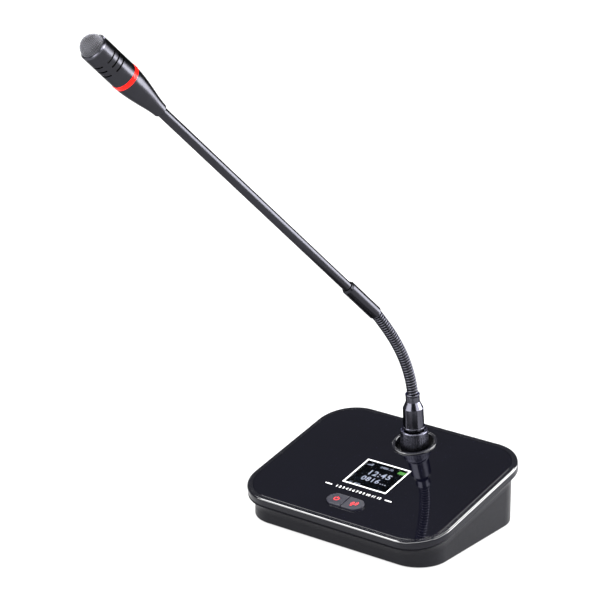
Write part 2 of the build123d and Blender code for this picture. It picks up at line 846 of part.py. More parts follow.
def head_cone():
    """Flares in a slight S from its lip on the stem to the width of the head."""
    outer_rim = cone_end - cone_rim_length
    foot_radius = cone_lip_radius
    flare = [(foot_radius + (head_radius - foot_radius) * widening, cone_start + cone_length * share)
             for share, widening in cone_profile_shares]
    outline = Spline((foot_radius, cone_start + cone_lip_round), *flare, (head_radius, outer_rim))
    half_way = cone_lip_round * (1 - sin(pi / 4))
    lip = ThreePointArc((foot_radius - cone_lip_round, cone_start),
                        (foot_radius - half_way, cone_start + half_way),
                        (foot_radius, cone_start + cone_lip_round))
    edge = Polyline((head_radius, outer_rim), (head_radius, cone_end), (0, cone_end), (0, cone_start),
                    (foot_radius - cone_lip_round, cone_start))
    body = revolve(make_face(Plane.XZ * (lip + outline + edge)), Axis.Z)
    socket_top = cone_start + cone_socket_length
    body = body - disc(stem_radius, cone_socket_length + cut_overrun, cone_start - cut_overrun)
    cavity_radius = head_radius - light_wall
    cavity = turned((0, socket_top), (stem_bore_radius, socket_top),
                    (cavity_radius - cone_wall, cone_end - light_board_thickness),
                    (cavity_radius, cone_end - light_board_thickness),
                    (cavity_radius, cone_end + cut_overrun), (0, cone_end + cut_overrun))
    return stem_axis * (body - cavity)


def light_ring():
    outer = head_radius + light_proud
    ring = disc(outer, light_length, cone_end)
    ring = fillet(ring.edges().filter_by(GeomType.CIRCLE), light_round)
    bore = disc(head_radius - light_wall, light_length + 2 * cut_overrun, cone_end - cut_overrun)
    return stem_axis * (ring - bore)


def light_board():
    """The little round board that closes the cone, with its lamps facing the light ring."""
    base = cone_end - light_board_thickness
    board = disc(head_radius - light_wall, light_board_thickness, base)
    lamp = Pos(head_radius - light_wall - led_side, 0, 0) * block(led_side, led_side, led_height, cone_end)
    lamps = [Rot(0, 0, 360 * i / led_count) * lamp for i in range(led_count)]
    lead_hole = disc(lead_radius, light_board_thickness + led_height + 2 * cut_overrun, base - cut_overrun)
    return stem_axis * (board + lamps - lead_hole)


def slot_cutter():
    """A wedge-shaped bar, bent round the axis, that cuts one gill slot."""
    far = head_radius + cut_overrun
    half = radians(slot_arc / 2)
    spread = far / cos(half)
    wedge = Polyline((0, 0), (spread * cos(half), -spread * sin(half)), (spread, 0),
                     (spread * cos(half), spread * sin(half)), close=True)
    return extrude(make_face(wedge), amount=slot_width)


def head_tube():
    body = tube(head_radius, head_radius - tube_wall, tube_length, light_end)
    cutter = slot_cutter()
    for row in range(slots_per_group):
        height = bezel_end - slot_first - row * slot_pitch - slot_width / 2
        for group in range(slot_groups):
            body = body - Rot(0, 0, slot_phase + 360 * group / slot_groups) * Pos(0, 0, height) * cutter
    return stem_axis * body


def grille_bezel():
    inner = dome_radius
    body = tube(head_radius, inner, bezel_length, tube_end)
    outer_rim = body.edges().group_by(Axis.Z)[-1].filter_by(lambda edge: edge.radius > inner + dome_wall)
    body = chamfer(outer_rim, bezel_chamfer)
    spigot = tube(head_radius - tube_wall, inner, bezel_spigot, tube_end - bezel_spigot)
    return stem_axis * (body + spigot)


def under_dome(inset):
    """The space above the bezel's end and under the dome's outside, set in by `inset`."""
    ball = Pos(0, 0, bezel_end + dome_rise - dome_bend) * Sphere(dome_bend - inset)
    return ball & block(reach, reach, reach, bezel_end)


def grille_dome():
    skirt_length = dome_skirt + bezel_length
    skirt = tube(dome_radius, dome_radius - dome_wall, skirt_length, bezel_end - skirt_length)
    return stem_axis * (under_dome(0) - under_dome(dome_wall) + skirt)


def grille_foam():
    return stem_axis * (under_dome(dome_wall) - under_dome(dome_wall + foam_wall))


def slot_liner():
    """The sleeve of acoustic cloth behind the gill slots, between the lamp board and the capsule."""
    foot = light_end
    length = tube_end - bezel_spigot - mount_length - foot
    return stem_axis * tube(head_radius - tube_wall, head_radius - tube_wall - liner_wall, length, foot)


def capsule():
    top = bezel_end - capsule_setback
    body = disc(capsule_radius, capsule_length, top - capsule_length)
    return stem_axis * (body - disc(capsule_radius - capsule_rim, capsule_rim_depth + cut_overrun,
                                    top - capsule_rim_depth))


def capsule_mount():
    top = tube_end - bezel_spigot
    outer = head_radius - tube_wall
    return stem_axis * tube(outer, capsule_radius, mount_length, top - mount_length)


pieces = {
    "upper_shell": upper_shell,
    "top_panel": top_panel,
    "display_window": display_window,
    "display_module": display_module,
    "display_ribbon": display_ribbon,
    "lower_casing": lower_casing,
    "non_slip_pad": non_slip_pad,
    "ballast_plate": ballast_plate,
    "case_screws": case_screws,
    "board_screws": board_screws,
    "main_board": main_board,
    "radio_module": radio_module,
    "main_chips": main_chips,
    "antenna_board": antenna_board,
    "battery_pack": battery_pack,
    "charge_board": charge_board,
    "charge_socket": charge_socket,
    "key_board": key_board,
    "switch_left": lambda: switch_housing(-1),
    "switch_right": lambda: switch_housing(1),
    "plunger_left": lambda: switch_plunger(-1),
    "plunger_right": lambda: switch_plunger(1),
    "key_left": lambda: key_half(-1),
    "key_right": lambda: key_half(1),
    "trim_cup": trim_cup,
    "socket_barrel": socket_barrel,
    "socket_nut": socket_nut,
    "socket_insert": socket_insert,
    "locking_ring": locking_ring,
    "plug_body": plug_body,
    "plug_insert": plug_insert,
    "plug_pins": plug_pins,
    "neck_ferrule": neck_ferrule,
    "collar": collar,
    "stem_tube": stem_tube,
    "stem_lead": stem_lead,
    "head_cone": head_cone,
    "light_ring": light_ring,
    "light_board": light_board,
    "head_tube": head_tube,
    "grille_bezel": grille_bezel,
    "grille_dome": grille_dome,
    "grille_foam": grille_foam,
    "capsule": capsule,
    "capsule_mount": capsule_mount,
    "slot_liner": slot_liner,
}

os.makedirs("parts", exist_ok=True)
for name, make in pieces.items():
    export_step(make(), f"parts/{name}.step")
for number in range(link_count):
    export_step(neck_link(number), f"parts/neck_link_{number + 1}.step")
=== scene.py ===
import json
from math import atan2, degrees, pi, radians, sin

import bpy
from mathutils import Matrix, Vector


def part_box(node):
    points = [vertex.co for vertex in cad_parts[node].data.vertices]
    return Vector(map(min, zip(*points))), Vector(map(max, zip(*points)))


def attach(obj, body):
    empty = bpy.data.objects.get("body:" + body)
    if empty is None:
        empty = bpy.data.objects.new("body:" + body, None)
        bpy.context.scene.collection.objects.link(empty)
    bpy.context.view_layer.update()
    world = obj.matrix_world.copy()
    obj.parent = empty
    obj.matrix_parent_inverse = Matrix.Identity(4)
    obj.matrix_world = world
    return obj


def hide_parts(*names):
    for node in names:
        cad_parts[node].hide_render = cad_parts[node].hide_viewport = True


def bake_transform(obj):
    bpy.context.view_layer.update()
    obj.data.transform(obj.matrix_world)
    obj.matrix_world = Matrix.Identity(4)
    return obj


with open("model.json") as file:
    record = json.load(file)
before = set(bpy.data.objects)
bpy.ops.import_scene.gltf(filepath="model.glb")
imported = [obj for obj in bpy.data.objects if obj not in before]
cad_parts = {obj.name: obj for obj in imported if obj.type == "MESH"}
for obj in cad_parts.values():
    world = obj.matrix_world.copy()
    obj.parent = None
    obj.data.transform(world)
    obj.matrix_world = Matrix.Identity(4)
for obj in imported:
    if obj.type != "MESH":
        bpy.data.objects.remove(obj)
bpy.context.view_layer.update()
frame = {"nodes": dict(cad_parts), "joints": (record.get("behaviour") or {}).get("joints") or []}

# Camera: stands to the user's right and a little above the desk, as the photograph was taken,
# with a long lens that keeps the base's edges nearly parallel.
camera_data = bpy.data.cameras.new("camera")
camera_data.lens = 143.43
camera_data.sensor_width = 36
camera = bpy.data.objects.new("camera", camera_data)
bpy.context.collection.objects.link(camera)
camera.location = (0.8579, -1.2067, 0.6609)
camera.rotation_euler = (radians(71.13), 0, radians(37.53))
bpy.context.scene.camera = camera
bpy.context.scene.view_settings.view_transform = "Standard"


# Studio: an even grey room and softboxes. Two high ones are the keys: the rounded edge of the
# rim mirrors them, and the flat panel looks just under them.
def softbox(name, toward, distance, width, height, radiance):
    """A rectangular lamp that faces the unit from the direction `toward`."""
    aim = Vector((0, 0, 0.05))
    lamp_data = bpy.data.lights.new(name, "AREA")
    lamp_data.shape = "RECTANGLE"
    lamp_data.size = width
    lamp_data.size_y = height
    lamp_data.energy = radiance * pi * width * height
    lamp = bpy.data.objects.new(name, lamp_data)
    bpy.context.collection.objects.link(lamp)
    lamp.location = aim + Vector(toward).normalized() * distance
    lamp.rotation_euler = (aim - lamp.location).to_track_quat("-Z", "Y").to_euler()


softbox("rear_key", (-0.141, 0.526, 0.839), 2.4, 2.0, 0.55, 15.0)
softbox("side_key", (-0.536, -0.095, 0.839), 2.4, 2.6, 0.55, 13.5)
softbox("low_card", (-0.619, 0.641, 0.454), 2.4, 1.6, 0.4, 5.0)
softbox("tall_softbox", (0.67, 0.72, 0.16), 1.3, 1.1, 0.5, 20.0)
softbox("left_softbox", (-0.34, -0.82, 0.46), 2.2, 2.6, 1.4, 6.5)
softbox("right_softbox", (0.83, 0.31, 0.46), 2.2, 2.9, 1.4, 6.5)
softbox("top_softbox", (0.29, -0.41, 0.87), 2.2, 1.6, 1.0, 6.0)

room = bpy.data.worlds.new("room")
bpy.context.scene.world = room
room.use_nodes = True
room.node_tree.nodes["Background"].inputs["Color"].default_value = (0.96, 0.98, 1.0, 1)
room.node_tree.nodes["Background"].inputs["Strength"].default_value = 0.09


# Floor: pale matt paper with a faint tooth. The camera, the gloss and the lens see most of it
# as an even glow, so that it stays pale all round the unit.
floor_width = 14
glow_share = 0.75
bpy.ops.mesh.primitive_plane_add(size=floor_width)
floor = bpy.context.object
floor.name = "floor"
paper = bpy.data.materials.new("pale floor")
paper.use_nodes = True
paper_nodes, paper_links = paper.node_tree.nodes, paper.node_tree.links
sheet = paper_nodes["Principled BSDF"]
sheet.inputs["Roughness"].default_value = 0.9
sheet.inputs["Specular IOR Level"].default_value = 0.1
tooth = paper_nodes.new("ShaderNodeTexNoise")
tooth.inputs["Scale"].default_value = 60
tint = paper_nodes.new("ShaderNodeValToRGB")
tint.color_ramp.elements[0].color = (0.86, 0.86, 0.87, 1)
tint.color_ramp.elements[1].color = (0.90, 0.90, 0.90, 1)
ray = paper_nodes.new("ShaderNodeLightPath")
seen = paper_nodes.new("ShaderNodeMath")
seen.operation = "MAXIMUM"
through = paper_nodes.new("ShaderNodeMath")
through.operation = "MAXIMUM"
share = paper_nodes.new("ShaderNodeMath")
share.operation = "MULTIPLY"
share.inputs[1].default_value = glow_share
glow = paper_nodes.new("ShaderNodeEmission")
glow.inputs["Strength"].default_value = 1.0
blend_paper = paper_nodes.new("ShaderNodeMixShader")
for source, target in (
        (tooth.outputs["Fac"], tint.inputs["Fac"]),
        (tint.outputs["Color"], sheet.inputs["Base Color"]),
        (ray.outputs["Is Camera Ray"], seen.inputs[0]),
        (ray.outputs["Is Glossy Ray"], seen.inputs[1]),
        (seen.outputs[0], through.inputs[0]),
        (ray.outputs["Is Transmission Ray"], through.inputs[1]),
        (through.outputs[0], share.inputs[0]),
        (share.outputs[0], blend_paper.inputs["Fac"]),
        (sheet.outputs["BSDF"], blend_paper.inputs[1]),
        (glow.outputs["Emission"], blend_paper.inputs[2]),
        (blend_paper.outputs["Shader"], paper_nodes["Material Output"].inputs["Surface"])):
    paper_links.new(source, target)
floor.data.materials.append(paper)


# Lower casing: a wedge moulded in black ABS with a fine spark texture. Its wall swings out in
# a cove to meet the rim, and four screws from below hold it to the upper shell.
def effect_group(name, inputs, outputs):
    """An empty node group with these named number or vector sockets."""
    group = bpy.data.node_groups.new(name, "ShaderNodeTree")
    for socket, kind, value in inputs:
        made = group.interface.new_socket(socket, in_out="INPUT", socket_type=kind)
        if kind == "NodeSocketFloat":
            made.default_value = value
    for socket in outputs:
        group.interface.new_socket(socket, in_out="OUTPUT", socket_type="NodeSocketFloat")
    return group, group.nodes.new("NodeGroupInput"), group.nodes.new("NodeGroupOutput")


# Fine grain: the height of a moulded or blasted surface, and a slow drift of its tone.
drift_coarseness = 45
grain_group, grain_in, grain_out = effect_group(
    "fine grain", [("Vector", "NodeSocketVector", None), ("Grain", "NodeSocketFloat", 3000.0)],
    ["Height", "Tone"])
grain_noise = grain_group.nodes.new("ShaderNodeTexNoise")
grain_noise.inputs["Detail"].default_value = 3
grain_noise.inputs["Roughness"].default_value = 0.65
tone_scale = grain_group.nodes.new("ShaderNodeMath")
tone_scale.operation = "DIVIDE"
tone_scale.inputs[1].default_value = drift_coarseness
tone_noise = grain_group.nodes.new("ShaderNodeTexNoise")
tone_noise.inputs["Detail"].default_value = 5
for source, target in (
        (grain_in.outputs["Vector"], grain_noise.inputs["Vector"]),
        (grain_in.outputs["Grain"], grain_noise.inputs["Scale"]),
        (grain_in.outputs["Grain"], tone_scale.inputs[0]),
        (grain_in.outputs["Vector"], tone_noise.inputs["Vector"]),
        (tone_scale.outputs[0], tone_noise.inputs["Scale"]),
        (grain_noise.outputs["Fac"], grain_out.inputs["Height"]),
        (tone_noise.outputs["Fac"], grain_out.inputs["Tone"])):
    grain_group.links.new(source, target)

# Handling: soft finger smears and wipe marks that change the gloss from place to place.
smear_group, smear_in, smear_out = effect_group(
    "handling", [("Vector", "NodeSocketVector", None), ("Spread", "NodeSocketFloat", 40.0)],
    ["Smear"])
smear_noise = smear_group.nodes.new("ShaderNodeTexNoise")
smear_noise.inputs["Detail"].default_value = 6
smear_noise.inputs["Distortion"].default_value = 0.8
wipe_stretch = smear_group.nodes.new("ShaderNodeMapping")
wipe_stretch.inputs["Rotation"].default_value = (0, 0, 0.5)
wipe_stretch.inputs["Scale"].default_value = (1, 9, 9)
wipe_noise = smear_group.nodes.new("ShaderNodeTexNoise")
wipe_noise.inputs["Detail"].default_value = 3
smear_mix = smear_group.nodes.new("ShaderNodeMath")
smear_mix.operation = "MULTIPLY"
smear_range = smear_group.nodes.new("ShaderNodeMapRange")
smear_range.inputs["From Min"].default_value = 0.12
smear_range.inputs["From Max"].default_value = 0.42
for source, target in (
        (smear_in.outputs["Vector"], smear_noise.inputs["Vector"]),
        (smear_in.outputs["Spread"], smear_noise.inputs["Scale"]),
        (smear_in.outputs["Vector"], wipe_stretch.inputs["Vector"]),
        (wipe_stretch.outputs["Vector"], wipe_noise.inputs["Vector"]),
        (smear_in.outputs["Spread"], wipe_noise.inputs["Scale"]),
        (smear_noise.outputs["Fac"], smear_mix.inputs[0]),
        (wipe_noise.outputs["Fac"], smear_mix.inputs[1]),
        (smear_mix.outputs[0], smear_range.inputs["Value"]),
        (smear_range.outputs["Result"], smear_out.inputs["Smear"])):
    smear_group.links.new(source, target)


def surface_finish(name, dark, light, smooth, rough, grain, relief, spread=40.0, **shader):
    """A finish that drifts between two tones and two roughnesses over a fine relief (metres)."""
    finish = bpy.data.materials.new(name)
    finish.use_nodes = True
    nodes, links = finish.node_tree.nodes, finish.node_tree.links
    body = nodes["Principled BSDF"]
    place = nodes.new("ShaderNodeTexCoord")
    grains = nodes.new("ShaderNodeGroup")
    grains.node_tree = grain_group
    grains.inputs["Grain"].default_value = grain
    smears = nodes.new("ShaderNodeGroup")
    smears.node_tree = smear_group
    smears.inputs["Spread"].default_value = spread
    tones = nodes.new("ShaderNodeMix")
    tones.name = "tones"
    tones.data_type = "RGBA"
    tones.inputs["A"].default_value = (*dark, 1)
    tones.inputs["B"].default_value = (*light, 1)
    gloss = nodes.new("ShaderNodeMapRange")
    gloss.inputs["To Min"].default_value = smooth
    gloss.inputs["To Max"].default_value = rough
    bump = nodes.new("ShaderNodeBump")
    bump.inputs["Distance"].default_value = relief
    links.new(place.outputs["Object"], grains.inputs["Vector"])
    links.new(place.outputs["Object"], smears.inputs["Vector"])
    links.new(grains.outputs["Tone"], tones.inputs["Factor"])
    links.new(tones.outputs["Result"], body.inputs["Base Color"])
    links.new(smears.outputs["Smear"], gloss.inputs["Value"])
    links.new(gloss.outputs["Result"], body.inputs["Roughness"])
    links.new(grains.outputs["Height"], bump.inputs["Height"])
    links.new(bump.outputs["Normal"], body.inputs["Normal"])
    for socket, value in shader.items():
        body.inputs[socket.replace("_", " ")].default_value = value
    return finish


def dress(finish, *names):
    """Gives CAD nodes this finish in place of their plain one."""
    for name in names:
        for slot in frame["nodes"][name].material_slots:
            slot.material = finish


casing_black = surface_finish(
    "casing black", dark=(0.0065, 0.0065, 0.0085), light=(0.009, 0.009, 0.011),
    smooth=0.3, rough=0.42, grain=5200, relief=0.00001, Specular_IOR_Level=0.1)
dress(casing_black, "lower_casing")


# Non-slip pad: a moulded rubber sheet let into the casing's underside, matt and finely
# pimpled, with a little desk dust on it.
pad_rubber = surface_finish(
    "pad rubber", dark=(0.012, 0.012, 0.012), light=(0.030, 0.029, 0.028),
    smooth=0.75, rough=0.95, grain=2600, relief=0.00006, Specular_IOR_Level=0.2)
dress(pad_rubber, "non_slip_pad")


# Screws: zinc-plated pan heads that hold the casing and the boards, with the fine turning
# marks and slight colour drift of plating.
screw_zinc = surface_finish(
    "screw zinc", dark=(0.30, 0.30, 0.31), light=(0.44, 0.44, 0.43),
    smooth=0.28, rough=0.5, grain=9000, relief=0.000006, spread=300, Metallic=1.0)
dress(screw_zinc, "case_screws", "board_screws")


# Ballast: a sawn and plated steel bar on the casing's floor that keeps the unit from tipping.
# The plating over the saw cuts is dull and mottled.
ballast_zinc = surface_finish(
    "ballast zinc", dark=(0.36, 0.36, 0.35), light=(0.52, 0.52, 0.50),
    smooth=0.3, rough=0.6, grain=1800, relief=0.00002, spread=60, Metallic=1.0)
dress(ballast_zinc, "ballast_plate")


# Circuit boards: glass-fibre boards under green lacquer. The copper runs show through the
# lacquer as lighter stripes.
board_lacquer = surface_finish(
    "board lacquer", dark=(0.006, 0.060, 0.026), light=(0.010, 0.085, 0.036),
    smooth=0.3, rough=0.45, grain=4000, relief=0.00001, spread=80, Coat_Weight=0.3)
board_nodes, board_links = board_lacquer.node_tree.nodes, board_lacquer.node_tree.links
runs = board_nodes.new("ShaderNodeTexBrick")
runs.inputs["Scale"].default_value = 160
runs.inputs["Mortar Size"].default_value = 0.045
runs.inputs["Color1"].default_value = (1, 1, 1, 1)
runs.inputs["Color2"].default_value = (0.9, 0.9, 0.9, 1)
runs.inputs["Mortar"].default_value = (2.6, 2.2, 1.6, 1)
over_tones = board_nodes.new("ShaderNodeMix")
over_tones.data_type = "RGBA"
over_tones.blend_type = "MULTIPLY"
over_tones.inputs["Factor"].default_value = 1
board_links.new(board_nodes["Texture Coordinate"].outputs["Object"], runs.inputs["Vector"])
board_links.new(board_nodes["tones"].outputs["Result"], over_tones.inputs["A"])
board_links.new(runs.outputs["Color"], over_tones.inputs["B"])
board_links.new(over_tones.outputs["Result"], board_nodes["Principled BSDF"].inputs["Base Color"])
dress(board_lacquer, "main_board", "charge_board", "key_board", "antenna_board", "light_board")


# Chips and key switches: moulded in matt black epoxy and soldered to their boards. Their faces
# have the fine grain of the mould.
chip_epoxy = surface_finish(
    "chip epoxy", dark=(0.010, 0.010, 0.011), light=(0.020, 0.020, 0.022),
    smooth=0.55, rough=0.75, grain=6000, relief=0.00002, Specular_IOR_Level=0.3)
dress(chip_epoxy, "main_chips", "switch_left", "switch_right")


# Radio module and charge socket: cans folded from tinned steel sheet and soldered to their
# boards, bright with faint wipe marks.
can_tin = surface_finish(
    "can tin", dark=(0.50, 0.50, 0.50), light=(0.66, 0.66, 0.65),
    smooth=0.22, rough=0.42, grain=2600, relief=0.00001, spread=90, Metallic=1.0)
dress(can_tin, "radio_module", "charge_socket")


# Battery: two pouch cells in a printed foil sleeve, folded over and heat-sealed. The foil is
# slightly crinkled.
battery_foil = surface_finish(
    "battery foil", dark=(0.16, 0.18, 0.21), light=(0.30, 0.32, 0.35),
    smooth=0.3, rough=0.5, grain=900, relief=0.00012, spread=50, Metallic=0.7)
dress(battery_foil, "battery_pack")


# Display: a dark panel module behind the window, joined to the main board by a film ribbon.
# What it shows stands on the module's face: a status row, two large rows, a foot row and a
# cell gauge, all in plain figures and bars.
module_black = surface_finish(
    "display black", dark=(0.0008, 0.0014, 0.0026), light=(0.0014, 0.0022, 0.0036),
    smooth=0.1, rough=0.16, grain=3000, relief=0.000001, Specular_IOR_Level=0.02, IOR=1.1)
dress(module_black, "display_module")

ribbon_film = surface_finish(
    "ribbon film", dark=(0.30, 0.13, 0.03), light=(0.45, 0.22, 0.05),
    smooth=0.2, rough=0.35, grain=1200, relief=0.00001, Coat_Weight=0.4)
dress(ribbon_film, "display_ribbon")

panel_tilt = radians(12.1)
screen_v = -0.006
window_half = 0.0146
face_height = -0.00199
film = 0.00002
panel_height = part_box("display_window")[1][2] - (screen_v + window_half) * sin(panel_tilt)
on_panel = Matrix.Translation((0, 0, panel_height)) @ Matrix.Rotation(panel_tilt, 4, "X")
on_screen = on_panel @ Matrix.Translation((0, screen_v, face_height))


def only(piece):
    """Deselects everything but this piece and makes it the active one."""
    if bpy.context.mode != "OBJECT":
        bpy.ops.object.mode_set(mode="OBJECT")
    bpy.ops.object.select_all(action="DESELECT")
    piece.select_set(True)
    bpy.context.view_layer.objects.active = piece


def settle(piece, name, place, finish):
    """Names a modelled piece, coats it, and moves its mesh so the object is at the origin."""
    only(piece)
    bpy.ops.object.transform_apply(location=True, rotation=True, scale=True)
    piece.data.transform(place)
    piece.name = name
    piece.data.name = name
    piece.data.materials.clear()
    piece.data.materials.append(finish)
    return piece


def apply_modifier(piece, kind, **values):
    """Adds a modifier with these values and applies it."""
    only(piece)
    modifier = piece.modifiers.new(kind.lower(), kind)
    for value, setting in values.items():
        setattr(modifier, value, setting)
    bpy.ops.object.modifier_apply(modifier=modifier.name)


def thin_bar(width, depth, thick):
    """A flat rectangle of film, printed or lit, that stands on z = 0."""
    bpy.ops.mesh.primitive_plane_add(size=1)
    bar = bpy.context.object
    bar.scale = (width, depth, 1)
    bpy.ops.object.transform_apply(scale=True)
    apply_modifier(bar, "SOLIDIFY", thickness=thick, offset=1)
    return bar


def joined(pieces):
    """Joins the pieces that make up one print, sign or coil into one object."""
    only(pieces[0])
    for piece in pieces:
        piece.select_set(True)
    if len(pieces) > 1:
        bpy.ops.object.join()
    return bpy.context.object


def moved(piece, x, y):
    """Puts a flat mark at this place on its face."""
    piece.location = (x, y, 0)
    return piece


def figures(text, tall, thick, weight, gap):
    """Plain figures as a thin flat mesh, centred on the origin, `tall` high."""
    figure_share = 0.72
    curve_steps = 3
    bpy.ops.object.text_add()
    words = bpy.context.object
    words.data.body = text
    words.data.align_x = "CENTER"
    words.data.align_y = "CENTER"
    words.data.size = tall / figure_share
    words.data.offset = weight
    words.data.space_character = gap
    words.data.resolution_u = curve_steps
    words.data.extrude = thick / 2
    only(words)
    bpy.ops.object.convert(target="MESH")
    made = bpy.context.object
    made.data.transform(Matrix.Translation((0, 0, thick / 2)))
    return made


def lit_finish(name, colour, strength):
    """A lit display colour, with the faint row structure of its dots."""
    gap_share = 0.8
    finish = bpy.data.materials.new(name)
    finish.use_nodes = True
    nodes, links = finish.node_tree.nodes, finish.node_tree.links
    body = nodes["Principled BSDF"]
    body.inputs["Base Color"].default_value = (0.02, 0.02, 0.02, 1)
    body.inputs["Roughness"].default_value = 0.6
    body.inputs["Emission Strength"].default_value = strength
    place = nodes.new("ShaderNodeTexCoord")
    rows = nodes.new("ShaderNodeTexWave")
    rows.inputs["Scale"].default_value = 1400
    rows.bands_direction = "X"
    dots = nodes.new("ShaderNodeMix")
    dots.data_type = "RGBA"
    dots.inputs["A"].default_value = (*[part * gap_share for part in colour], 1)
    dots.inputs["B"].default_value = (*colour, 1)
    links.new(place.outputs["Object"], rows.inputs["Vector"])
    links.new(rows.outputs["Fac"], dots.inputs["Factor"])
    links.new(dots.outputs["Result"], body.inputs["Emission Color"])
    return finish


lit_white = lit_finish("lit white", (0.46, 0.52, 0.68), 1.0)
lit_green = lit_finish("lit green", (0.12, 0.62, 0.05), 1.0)


def on_display(pieces, name, finish):
    """Sets lit marks on the display module's face."""
    made = settle(joined(pieces), name, on_screen, finish)
    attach(made, "base")


large_row = figures("12:45", tall=0.0054, thick=film, weight=0.00012, gap=1.15)
on_display([moved(large_row, 0.0, 0.0032)], "screen_large_figures", lit_white)

dot_size = 0.0008
dot_start, dot_pitch, dot_y = 0.0066, 0.0019, -0.0054
second_figures = figures("0816", tall=0.0048, thick=film, weight=0.00010, gap=1.12)
second_row = [moved(second_figures, -0.0024, -0.0040)]
for step in range(3):
    dot = thin_bar(dot_size, dot_size, film)
    second_row.append(moved(dot, dot_start + dot_pitch * step, dot_y))
on_display(second_row, "screen_second_figures", lit_white)

signal_width, signal_pitch = 0.0005, 0.0009
signal_height, signal_growth = 0.0006, 0.0005
signal_start, signal_foot = -0.0150, 0.0105
status = []
for step in range(5):
    tall = signal_height + signal_growth * step
    status.append(moved(thin_bar(signal_width, tall, film),
                        signal_start + signal_pitch * step, signal_foot + tall / 2))
status_figures = figures("2405.10", tall=0.0021, thick=film, weight=0.00004, gap=1.1)
status.append(moved(status_figures, 0.0002, 0.0117))
on_display(status, "screen_status_row", lit_white)

foot_figures = figures("01  0256", tall=0.0017, thick=film, weight=0.00003, gap=1.1)
on_display([moved(foot_figures, -0.0098, -0.0118)], "screen_foot_row", lit_white)

gauge_x, gauge_y = 0.0126, 0.0114
gauge_width, gauge_height, gauge_line = 0.0052, 0.0028, 0.0005
gauge_reach, gauge_rise = 0.0024, 0.0012
knob_width, knob_height, knob_reach = 0.0006, 0.0012, 0.0030
cell_width, cell_height, cell_pitch = 0.0009, 0.0015, 0.0013
gauge = [moved(thin_bar(gauge_width, gauge_line, film), gauge_x, gauge_y + side * gauge_rise)
         for side in (1, -1)]
gauge += [moved(thin_bar(gauge_line, gauge_height, film), gauge_x + side * gauge_reach, gauge_y)
          for side in (-1, 1)]
gauge.append(moved(thin_bar(knob_width, knob_height, film), gauge_x + knob_reach, gauge_y))
gauge += [moved(thin_bar(cell_width, cell_height, film), gauge_x + cell_pitch * step, gauge_y)
          for step in (-1, 0, 1)]
on_display(gauge, "screen_cell_gauge", lit_green)


# Window: a clear acrylic lens, pressed into the panel flush with its face. It is given less
# gloss and bends light less than real acrylic, so that the display shows without glare.
lens_clear = bpy.data.materials.new("lens clear")
lens_clear.use_nodes = True
lens_nodes, lens_links = lens_clear.node_tree.nodes, lens_clear.node_tree.links
lens_body = lens_nodes["Principled BSDF"]
lens_body.inputs["Base Color"].default_value = (0.93, 0.95, 0.98, 1)
lens_body.inputs["Transmission Weight"].default_value = 1.0
lens_body.inputs["IOR"].default_value = 1.15
lens_body.inputs["Specular IOR Level"].default_value = 0.08
lens_smear = lens_nodes.new("ShaderNodeGroup")
lens_smear.node_tree = smear_group
lens_smear.inputs["Spread"].default_value = 60
lens_place = lens_nodes.new("ShaderNodeTexCoord")
lens_gloss = lens_nodes.new("ShaderNodeMapRange")
lens_gloss.inputs["To Min"].default_value = 0.02
lens_gloss.inputs["To Max"].default_value = 0.05
lens_links.new(lens_place.outputs["Object"], lens_smear.inputs["Vector"])
lens_links.new(lens_smear.outputs["Smear"], lens_gloss.inputs["Value"])
lens_links.new(lens_gloss.outputs["Result"], lens_body.inputs["Roughness"])
dress(lens_clear, "display_window")


# Upper shell: moulded in black ABS. The rounded outer edge of its rim is polished, so that it
# draws a bright line round the panel, while the sides stay dark.
def polish_upward(finish, low, high):
    """Coats only the faces that look up, from this much upward to fully at that."""
    nodes, links = finish.node_tree.nodes, finish.node_tree.links
    facing = nodes.new("ShaderNodeNewGeometry")
    upward = nodes.new("ShaderNodeSeparateXYZ")
    polish = nodes.new("ShaderNodeMapRange")
    polish.inputs["From Min"].default_value = low
    polish.inputs["From Max"].default_value = high
    links.new(facing.outputs["Normal"], upward.inputs["Vector"])
    links.new(upward.outputs["Z"], polish.inputs["Value"])
    links.new(polish.outputs["Result"], nodes["Principled BSDF"].inputs["Coat Weight"])


rim_black = surface_finish(
    "rim black", dark=(0.003, 0.003, 0.005), light=(0.005, 0.005, 0.008),
    smooth=0.08, rough=0.14, grain=6000, relief=0.000002, spread=30,
    Specular_IOR_Level=0.2, Coat_Roughness=0.04, Coat_IOR=1.7)
polish_upward(rim_black, low=0.2, high=0.5)
dress(rim_black, "upper_shell")


# Top panel: a black acrylic sheet, glossy as a mirror, glued into the shell's recess. Only its
# flat face is coated, not its bevels.
panel_black = surface_finish(
    "panel black", dark=(0.001, 0.001, 0.003), light=(0.002, 0.002, 0.005),
    smooth=0.02, rough=0.04, grain=900, relief=0.0000005, spread=25, Coat_Roughness=0.015)
polish_upward(panel_black, low=0.9, high=0.96)
dress(panel_black, "top_panel")


# Print on the panel: white ink round the window, and a row of channel figures between two
# dashes under it. The ink stands a few hundredths of a millimetre proud.
print_white = surface_finish(
    "white print", dark=(0.80, 0.80, 0.80), light=(0.88, 0.88, 0.88),
    smooth=0.4, rough=0.55, grain=7000, relief=0.000004, spread=120)
ink = 0.00003
ink_lift = 0.00001
print_width, print_depth, print_line = 0.0355, 0.0303, 0.00105
print_x, print_v = 0.0004, screen_v - 0.0002
bpy.ops.mesh.primitive_plane_add(size=1)
frame_print = bpy.context.object
frame_print.scale = (print_width, print_depth, 1)
bpy.ops.object.transform_apply(scale=True)
bpy.ops.object.mode_set(mode="EDIT")
bpy.ops.mesh.select_all(action="SELECT")
bpy.ops.mesh.inset(thickness=print_line)
bpy.ops.mesh.delete(type="FACE")
bpy.ops.object.mode_set(mode="OBJECT")
apply_modifier(frame_print, "SOLIDIFY", thickness=ink, offset=1)
